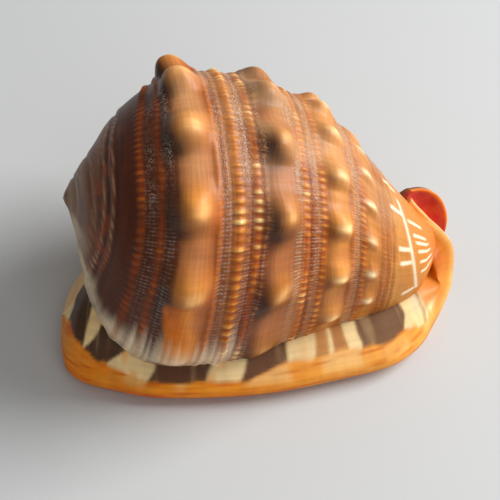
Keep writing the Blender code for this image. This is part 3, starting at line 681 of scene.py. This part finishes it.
def ground_paint(row, degrees):
    """The banded ground of the whorl, with some painted light in it, with dark stretches, and with the dark
    lines between the cords, which are partly painted shade.
    """
    uneven = row + 0.5 * mottle(row / 3, degrees / 7) + 0.25 * mottle(row / 1.2, degrees / 2.5, 2)
    places = [knot[0] for knot in GROUND]
    shades = np.array([linear(*knot[1:]) for knot in GROUND])
    # The ground's shades carry some painted highlight and, towards the spire, painted shade.
    paint = np.stack([np.interp(uneven, places, shades[:, n]) for n in range(3)], axis=1)
    dark_stretch = ease(-0.2, 0.7, mottle(row / 9, degrees / 14, 3))
    dark_stretch *= ease(38, 44, row) * (1 - ease(84, 92, row))
    paint = blend(paint, STRETCH_BROWN, 0.35 * dark_stretch)
    wandering = row + 0.3 * mottle(degrees / 6, 3, 21)
    # The dark lines between the cords: partly painted shade in the hollows beside them.
    for place, half, strength in CORD_SHADE_LINES:
        broken = 0.7 + 0.6 * mottle(degrees / 8, place, 20)
        paint = blend(paint, CORD_SHADE_BROWN, strength * broken * hump(wandering, place, half))
    return paint


def with_knob_patches_shade_and_highlight(paint, row, degrees):
    """The patches of colour round each knob; the dark ones are partly painted shade and the pale tips partly
    painted highlight.
    """
    stray = 0.6 * mottle(row / 2.2, degrees / 4, 4)
    for (place, _, _, count, peak), patches in zip(KNOB_ROWS, PATCHES):
        period = 360.0 / count
        which = np.round((degrees - peak) / period)
        for across, round_it, half, half_turn, colour, strength in patches:
            turned = (degrees - peak - round_it + period / 2) % period - period / 2
            patch = hump(row, place + across + stray, half) * hump(turned + stray, 0, half_turn)
            paint = blend(paint, colour, strength * (1 + 0.2 * mottle(which, place, 5)) * patch)
    return paint


def with_cords(paint, row, turn):
    """Brown cords with tan and golden beads, and cream ones here and there."""
    degrees = np.degrees(turn)
    for place, half, _, beaded in CORDS:
        on_cord = beaded * hump(row, place, 0.9 * half)
        broken = ease(-0.7, 0.1, mottle(degrees / 7, place * 2, 22))
        paint = blend(paint, CORD_BROWN, 0.75 * on_cord * (0.35 + 0.65 * broken))
        tops = on_cord * ease(0.45, 0.95, bead_wave(turn, place))
        paint = blend(paint, BEAD_TAN, 0.8 * tops * (0.3 + 0.7 * broken))
        warm = 0.5 + 0.5 * mottle(degrees / 6, place, 6)
        paint = blend(paint, BEAD_GOLD, ease(30, 45, place) * (0.35 + 0.6 * warm) * tops)
        if place in CREAM_CORDS:
            cream = ease(0.1, 0.6, mottle(degrees / 5 + 7, place, 7))
            paint = blend(paint, BEAD_CREAM, 0.9 * cream * tops)
    return paint


def with_wash(paint, row, degrees):
    """A pale wash over the back, and rows that get lighter towards the middle of the shell."""
    washed = (0.5 + 0.5 * mottle(degrees / 9, row / 7, 30)) * ease(29, 34, row) * (1 - ease(96, 104, row))
    paint = blend(paint, WASH_TAN, 0.55 * washed * (1 - ease(200, 245, degrees)))
    return paint * (1 + 0.26 * ease(27, 33, row) - 0.24 * ease(80, 92, row))[:, None]


def with_white_line(paint, along, degrees):
    """The white line near the canal, and the short bars beside it."""
    first, last = LINE_TURNS
    line = LINE_START + (degrees - first) * LINE_SLANT
    ends = ease(first, first + 6, degrees) * (1 - ease(last - 4, last, degrees))
    paint = blend(paint, LINE_WHITE, 0.95 * hump(along, line, LINE_HALF) * ends)
    for place, middle in BARS:
        half = SHORT_BAR if place < LINE_START + 4 else LONG_BAR
        off_middle = (degrees - middle) + BAR_SLANT * (along - place)
        bar = np.clip(1.25 - (np.abs(along - place) / half) ** 4, 0, 1)
        bar *= np.clip(1.3 - (off_middle / BAR_HALF_WIDTH) ** 2, 0, 1)
        paint = blend(paint, BAR_WHITE, 0.9 * bar)
    return paint


def with_orange_patch(paint, along, row, degrees):
    """The orange patch between the first row of knobs and the lip, with painted shade on its spire side."""
    uneven = along + 0.8 * mottle(degrees / 4, 1, 25)
    patch = ease(24.4, 26.0, uneven) * (1 - ease(31.6, 35.6, uneven))
    patch *= ease(262, 267, degrees) * (1 - ease(276, 288, degrees))
    paint = blend(paint, PATCH_ORANGE, (0.75 + 0.25 * mottle(row, degrees / 3, 25)) * patch)
    paint = blend(paint, PATCH_PEACH, 0.6 * patch * hump(uneven, 32.5, 1.8))
    # Painted shade on the patch's spire side.
    return blend(paint, PATCH_SHADE, 0.9 * hump(along, 22.8, 1.6) * hump(degrees, 271, 9))


def with_spire_lines(paint, row, degrees):
    """Pale seams, fine lines and rusty blots on the side of the spire."""
    wandering = row + 0.25 * mottle(degrees / 12, 2, 29)
    for place, half, colour in SEAMS:
        seen = 0.6 + 0.35 * mottle(degrees / 8, place, 26)
        paint = blend(paint, colour, seen * hump(wandering, place, half))
    lines = 0.5 + 0.5 * mottle(row / 0.45, degrees / 40, 27)
    paint = blend(paint, SPIRE_PALE, 0.35 * ease(0.5, 0.9, lines) * (1 - ease(10, 12, row)))
    paint = blend(paint, SPIRE_DARK, 0.45 * ease(0.5, 0.9, 1 - lines) * (1 - ease(17, 19, row)))
    paint = blend(paint, SEAM_DARK, 0.7 * hump(wandering, 11.4, 0.5) + 0.6 * hump(wandering, 13.9, 0.5))
    rust = ease(0.0, 0.5, mottle(degrees / 5, row / 1.6, 15)) * hump(row, 10.5, 4.5)
    return blend(paint, SPIRE_RUST, 0.6 * rust * (1 - ease(260, 280, degrees)))


def with_lip_streaks(paint, along, row, degrees):
    """Cream streaks where the whorl meets the lip, with a brown blot among them."""
    streak = 0.5 + 0.5 * mottle(row / 0.7, degrees / 25, 16)
    by_lip = ease(283, 298, degrees + 5 * mottle(row / 4, 0, 8) + 6 * streak)
    by_lip *= ease(4, 9, row) * (1 - ease(44, 56, row)) * (1 - ease(322, 350, degrees))
    at_spire = ease(250, 275, degrees + 6 * mottle(row, 0, 8)) * (1 - ease(325, 350, degrees))
    at_spire *= ease(2, 4.5, row) * (1 - ease(5, 9, row))
    paint = blend(paint, STREAK_CREAM, (0.4 + 0.6 * streak) * np.maximum(by_lip, 0.6 * at_spire))
    return blend(paint, STREAK_BLOT, 0.8 * by_lip * hump(along, 25, 4) * hump(degrees, 303, 6))


def whorl_paint(along, turn):
    """Colour of the whorl at these places, how strongly it is hatched, and its place in the rows."""
    row = row_place(along, turn)
    degrees = np.degrees(turn)
    paint = ground_paint(row, degrees)
    paint = with_knob_patches_shade_and_highlight(paint, row, degrees)
    paint = with_cords(paint, row, turn)
    paint = with_wash(paint, row, degrees)
    paint = with_white_line(paint, along, degrees)
    paint = with_orange_patch(paint, along, row, degrees)
    paint = with_spire_lines(paint, row, degrees)
    paint = with_lip_streaks(paint, along, row, degrees)
    hatching = sum(strength * hump(row, middle, half) for middle, half, strength in HATCHED)
    hatching *= 0.55 + 0.45 * mottle(row / 4, degrees / 9, 9)
    return paint, np.clip(hatching, 0, 1), row


def with_blotches(paint, place, rail):
    """The cream top of the lip and its dark blotches."""
    on_top = ease(5.3, 5.9, rail) * (1 - ease(8.0, 8.6, rail))
    paint = blend(paint, TOP_CREAM, on_top)
    paint = blend(paint, TOP_TAN, 0.6 * on_top * ease(0.0, 0.8, mottle(place * 7, rail * 1.5, 23)))
    far_edge = 8.3 + 0.4 * (1 - ease(0.7, 1.3, place))
    across = ease(5.86, 6.02, rail) * (1 - ease(far_edge, far_edge + 0.3, rail))
    lines = 1 - 0.15 * ease(0, 1, mottle(place * 14, rail * 0.7, 12))
    for start, end, slant, colour, strength in BLOTCHES:
        stray = place - slant * (rail - 6.7) + 0.05 * mottle(rail * 2.5, place * 2, 11)
        share = ease(start - 0.03, start + 0.03, stray) * (1 - ease(end - 0.03, end + 0.03, stray))
        paint = blend(paint, colour, strength * lines * share * across)
    return paint


def with_rim(paint, place, rail):
    """The streaky orange rim, paler towards the canal."""
    inner_edge = smooth(RIM_EDGE, place) + 0.05 * mottle(place * 9, 0, 17)
    rim = ease(3.6, 4.4, rail) * (1 - ease(inner_edge - 0.1, inner_edge + 0.06, rail))
    lines = 0.5 + 0.5 * mottle(place * 2.5, rail * 9, 18)
    pale = ease(0.0, 0.6, mottle(place * 3.4, rail * 0.6, 28)) * ease(1.2, 1.8, place) * ease(5.5, 6.0, rail)
    paint = blend(paint, RIM_ORANGE, rim)
    paint = blend(paint, RIM_TAN, 0.75 * rim * ease(2.8, 4.8, place))
    paint = blend(paint, RIM_GOLD, 0.6 * rim * lines)
    paint = blend(paint, RIM_PALE, 0.6 * rim * pale)
    paint = blend(paint, RIM_RUST, 0.5 * rim * ease(0.6, 0.9, 1 - lines))
    return blend(paint, RIM_UNDER, 0.6 * rim * hump(rail, 4.5, 0.55))


def with_tail(paint, place, rail):
    """The lip's tail beside the canal, and the fold where the whorl runs into it."""
    tail = ease(6.15, 6.7, place) * ease(3.6, 4.4, rail) * (1 - ease(8.5, 9.5, rail))
    paint = blend(paint, TAIL_TAN, tail)
    paint = blend(paint, TAIL_PALE, 0.8 * tail * hump(rail, 5.0, 0.5))
    paint = blend(paint, TAIL_RUST, 0.7 * tail * ease(7.0, 8.0, place) * hump(rail, 6.6, 0.7))
    fold = ease(5.9, 6.2, place) * (1 - ease(6.7, 7.0, place)) * ease(6.2, 6.6, rail)
    paint = blend(paint, FOLD_TAN, 0.9 * fold * (1 - ease(8.6, 9.2, rail)))
    return blend(paint, FOLD_CREAM, 0.9 * hump(place, 5.78, 0.13) * hump(rail, 7.0, 0.35))


def with_canal(paint, place, rail):
    """The canal: dark brown outside at its end, partly painted shade, red inside with a lighter edge."""
    # The dark brown outside the canal's end is partly painted shade.
    outside = ease(9.1, 9.5, place) * ease(4.6, 5.4, rail) * (1 - ease(12.4, 13.2, rail))
    paint = blend(paint, CANAL_OUTSIDE, 0.9 * outside)
    canal = ease(6.8, 7.6, place)
    glow = ease(-0.2, 0.7, mottle(place * 4, rail * 1.3, 24))
    for inside in (canal * (1 - ease(2.4, 2.9, rail)), canal * ease(14.0, 14.3, rail)):
        paint = blend(paint, CANAL_RED, inside)
        paint = blend(paint, CANAL_GLOW, 0.5 * glow * inside)
    paint = blend(paint, CANAL_EDGE, canal * hump(rail, 13.85, 0.3))
    return blend(paint, CANAL_RIM, canal * hump(rail, 3.05, 0.25))


def lip_paint(place, rail):
    """Colour of the lip, shield and canal: place along the aperture and rail round the section.

    Rails count in the order of RAILS: 2 and 15 are the slopes with the teeth, 5 is the rim, 6 the top
    of the lip, 7 its shelf under the whorl, 11 the shield's edge and 14 its crest.
    """
    rail = rail + 0.08 * mottle(place * 3, rail * 2, 10)
    paint = np.tile(linear(*LIP_GROUND), (len(place), 1))
    paint = blend(paint, SHIELD_TAN, ease(9.5, 12.0, rail))
    paint = blend(paint, TEETH_CREAM, hump(rail, 1.2, 0.9) + hump(rail, 16.0, 0.9))
    paint = with_blotches(paint, place, rail)
    paint = with_rim(paint, place, rail)
    paint = with_tail(paint, place, rail)
    return with_canal(paint, place, rail)


def paint_shell(shell):
    """Writes the colour of every corner of the mesh into its attribute."""
    mesh = shell.data
    count = len(mesh.loops)
    spread = np.empty(count * 2)
    mesh.uv_layers["spread"].data.foreach_get("uv", spread)
    spread = spread.reshape(-1, 2)
    region = np.empty(len(mesh.polygons), int)
    sizes = np.empty(len(mesh.polygons), int)
    mesh.polygons.foreach_get("material_index", region)
    mesh.polygons.foreach_get("loop_total", sizes)
    region = np.repeat(region, sizes)
    colours = np.ones((count, 4))
    body, lip, room = region == WHORL, region == LIP, region == ROOM
    whorl, hatching, row = whorl_paint(spread[body, 0] * LONGEST, spread[body, 1] * WHOLE_TURN)
    colours[body, :3], colours[body, 3] = vivid(whorl), hatching
    colours[lip, :3] = vivid(lip_paint(spread[lip, 0] * 10, spread[lip, 1] * len(RAILS)))
    colours[room, :3] = linear(*ROOM_BROWN)
    spread[body, 0] = row / LONGEST
    mesh.uv_layers["spread"].data.foreach_set("uv", spread.ravel())
    paint = mesh.color_attributes.new("paint", "FLOAT_COLOR", "CORNER")
    paint.data.foreach_set("color", colours.ravel())


def wire(tree, kind, settings=(), **inputs):
    """A shader node with its settings made and its inputs linked or set."""
    node = tree.nodes.new(kind)
    for name, value in dict(settings).items():
        setattr(node, name, value)
    for name, value in inputs.items():
        socket = node.inputs[int(name[1:])] if name[0] == "i" and name[1:].isdigit() else node.inputs[name]
        if isinstance(value, bpy.types.NodeSocket):
            tree.links.new(value, socket)
        else:
            socket.default_value = value
    return node


def maths(tree, operation, *values):
    """One calculation."""
    inputs = {"i%d" % n: value for n, value in enumerate(values)}
    return wire(tree, "ShaderNodeMath", {"operation": operation}, **inputs).outputs[0]


def fine_noise(tree, place, stretch, detail=3.0):
    """Noise over the piece's own map, stretched by this much along and round."""
    scaled = wire(tree, "ShaderNodeVectorMath", {"operation": "MULTIPLY"}, i0=place, i1=(*stretch, 0.0))
    noise = wire(tree, "ShaderNodeTexNoise", {"noise_dimensions": "2D"}, Vector=scaled.outputs[0], Scale=1.0,
                 Detail=detail)
    return noise.outputs[0]


def with_striae(tree, along, threads, alpha, light):
    """Fine darker spiral lines in the light and shade, deeper where the whorl is hatched."""
    steps = maths(tree, "MULTIPLY", threads, 5.0)
    bent = maths(tree, "MULTIPLY_ADD", along, math.tau * LONGEST / STRIA, steps)
    stria = maths(tree, "MULTIPLY_ADD", maths(tree, "SINE", bent), 0.5, 0.5)
    depth = maths(tree, "MULTIPLY_ADD", alpha, 0.3, 0.06)
    shade = maths(tree, "SUBTRACT", 1.05, maths(tree, "MULTIPLY", depth, stria))
    return maths(tree, "MULTIPLY", light, shade)


def smooth_step(tree, value, low, high):
    """0 below low, 1 above high, and smooth between them, as a node."""
    settings = {"interpolation_type": "SMOOTHSTEP"}
    return wire(tree, "ShaderNodeMapRange", settings, i0=value, i1=low, i2=high).outputs[0]


def hatch_share(tree, place, along, turn, growth, alpha):
    """How much of the pale hatching shows: specks on the back, rows of dashes on the lip's side."""
    wavy = maths(tree, "MULTIPLY_ADD", turn, math.tau * DASHES, maths(tree, "MULTIPLY", growth, 4.0))
    wave = maths(tree, "MULTIPLY_ADD", maths(tree, "SINE", wavy), 0.5, 0.5)
    strand = maths(tree, "SINE", maths(tree, "MULTIPLY", along, math.tau * LONGEST / STRAND))
    woven = maths(tree, "MULTIPLY_ADD", strand, 0.3, 0.7)
    dashes = maths(tree, "MULTIPLY", maths(tree, "POWER", wave, 1.6), woven)
    specks = smooth_step(tree, fine_noise(tree, place, (230.0, 540.0), 1.0), 0.42, 0.62)
    later = wire(tree, "ShaderNodeMapRange", i0=turn, i1=0.58, i2=0.68).outputs[0]
    either = wire(tree, "ShaderNodeMix", {"data_type": "FLOAT"}, i0=later, i2=specks, i3=dashes).outputs[0]
    grain = smooth_step(tree, fine_noise(tree, place, (70.0, 200.0), 1.0), 0.25, 0.6)
    shown = maths(tree, "MULTIPLY", maths(tree, "MULTIPLY", either, 0.8), grain)
    return maths(tree, "MULTIPLY", shown, alpha)


def shell_material(name, hatched, along_lines, cross_lines):
    """Enamel in the painted colours, with fine threads, growth lines and pale hatching."""
    material = bpy.data.materials.new(name)
    material.use_nodes = True
    tree = material.node_tree
    surface = tree.nodes["Principled BSDF"]
    surface.inputs["Roughness"].default_value = 0.45
    surface.inputs["Specular IOR Level"].default_value = 0.22
    surface.inputs["Coat Weight"].default_value = 0.08
    surface.inputs["Coat Roughness"].default_value = 0.22
    paint = wire(tree, "ShaderNodeVertexColor", {"layer_name": "paint"})
    alpha = paint.outputs["Alpha"]
    place = wire(tree, "ShaderNodeUVMap", {"uv_map": "spread"}).outputs[0]
    threads = fine_noise(tree, place, along_lines)
    growth = fine_noise(tree, place, cross_lines)
    light = maths(tree, "MULTIPLY_ADD", threads, 0.3, maths(tree, "MULTIPLY_ADD", growth, 0.3, 0.7))
    if hatched:
        along, turn, _ = wire(tree, "ShaderNodeSeparateXYZ", i0=place).outputs
        light = with_striae(tree, along, threads, alpha, light)
    scaled = {"operation": "SCALE"}
    colour = wire(tree, "ShaderNodeVectorMath", scaled, i0=paint.outputs["Color"], Scale=light).outputs[0]
    height = maths(tree, "MULTIPLY_ADD", threads, 0.3, maths(tree, "MULTIPLY", growth, 0.3))
    if hatched:
        share = hatch_share(tree, place, along, turn, growth, alpha)
        pale = (*linear(*HATCH_PALE), 1.0)
        mixed = wire(tree, "ShaderNodeMix", {"data_type": "RGBA"}, Factor=share, i6=colour, i7=pale)
        colour = mixed.outputs[2]
        height = maths(tree, "ADD", height, maths(tree, "MULTIPLY", share, 1.2))
    tree.links.new(colour, surface.inputs["Base Color"])
    bump = wire(tree, "ShaderNodeBump", Strength=0.6, Distance=0.0004, Height=height)
    tree.links.new(bump.outputs[0], surface.inputs["Normal"])
    return material


def plain_material(name, colour, roughness):
    """A plain surface."""
    material = bpy.data.materials.new(name)
    material.use_nodes = True
    surface = material.node_tree.nodes["Principled BSDF"]
    surface.inputs["Base Color"].default_value = (*linear(*colour), 1.0)
    surface.inputs["Roughness"].default_value = roughness
    return material


def make_shell():
    """The whole shell as one closed mesh."""
    shell = make_body()
    materials = [
        shell_material("whorl", True, (170.0, 22.0), (9.0, 160.0)),
        shell_material("lip", False, (9.0, 120.0), (60.0, 12.0)),
        shell_material("room", False, (10.0, 10.0), (40.0, 4.0)),
    ]
    forms = [make_lip_and_shield(), make_hollow(), make_slot()]
    for obj in [shell] + forms:
        for material in materials:
            obj.data.materials.append(material)
    combine(shell, forms[0], "UNION")
    combine(shell, forms[1], "DIFFERENCE")
    combine(shell, forms[2], "DIFFERENCE")
    paint_shell(shell)
    bpy.ops.object.shade_smooth_by_angle(angle=math.radians(55.0))
    shell.name = "helmet_shell"
    return shell


def direction(toward):
    """The rotation that points a lamp or camera this way."""
    return Vector(toward).to_track_quat("-Z", "Y").to_euler()


def make_stage():
    """The floor and the light: a window on the canal's side, a weaker one in front, and the sky."""
    bpy.ops.mesh.primitive_plane_add(size=6.0, location=(0, 0, 0))
    floor = bpy.context.object
    floor.name = "floor"
    floor.data.materials.append(plain_material("floor", FLOOR_GREY, 0.7))
    world = bpy.data.worlds.new("sky")
    bpy.context.scene.world = world
    world.use_nodes = True
    world.node_tree.nodes["Background"].inputs["Color"].default_value = (0.99, 0.98, 0.96, 1.0)
    world.node_tree.nodes["Background"].inputs["Strength"].default_value = 0.27
    bpy.context.scene.view_settings.view_transform = "Standard"
    for name, place, power in LIGHTS:
        light = bpy.data.lights.new(name, "AREA")
        light.size = LIGHT_SIZE
        light.energy = power
        lamp = bpy.data.objects.new(name, light)
        bpy.context.scene.collection.objects.link(lamp)
        lamp.location = place
        lamp.rotation_euler = direction(-np.array(place))


def make_camera():
    """The camera at the photograph's viewing angle."""
    level = math.cos(CAMERA_HEIGHT)
    back = np.array([math.sin(CAMERA_TURN) * level, -math.cos(CAMERA_TURN) * level, math.sin(CAMERA_HEIGHT)])
    lens = bpy.data.cameras.new("camera")
    lens.sensor_width = 36.0
    lens.lens = LENS
    camera = bpy.data.objects.new("camera", lens)
    bpy.context.scene.collection.objects.link(camera)
    camera.location = CAMERA_TARGET * MM + CAMERA_DISTANCE * back
    camera.rotation_euler = direction(-back)
    bpy.context.scene.camera = camera


shell = make_shell()
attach(shell, "root")
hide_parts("shell")
make_stage()
make_camera()
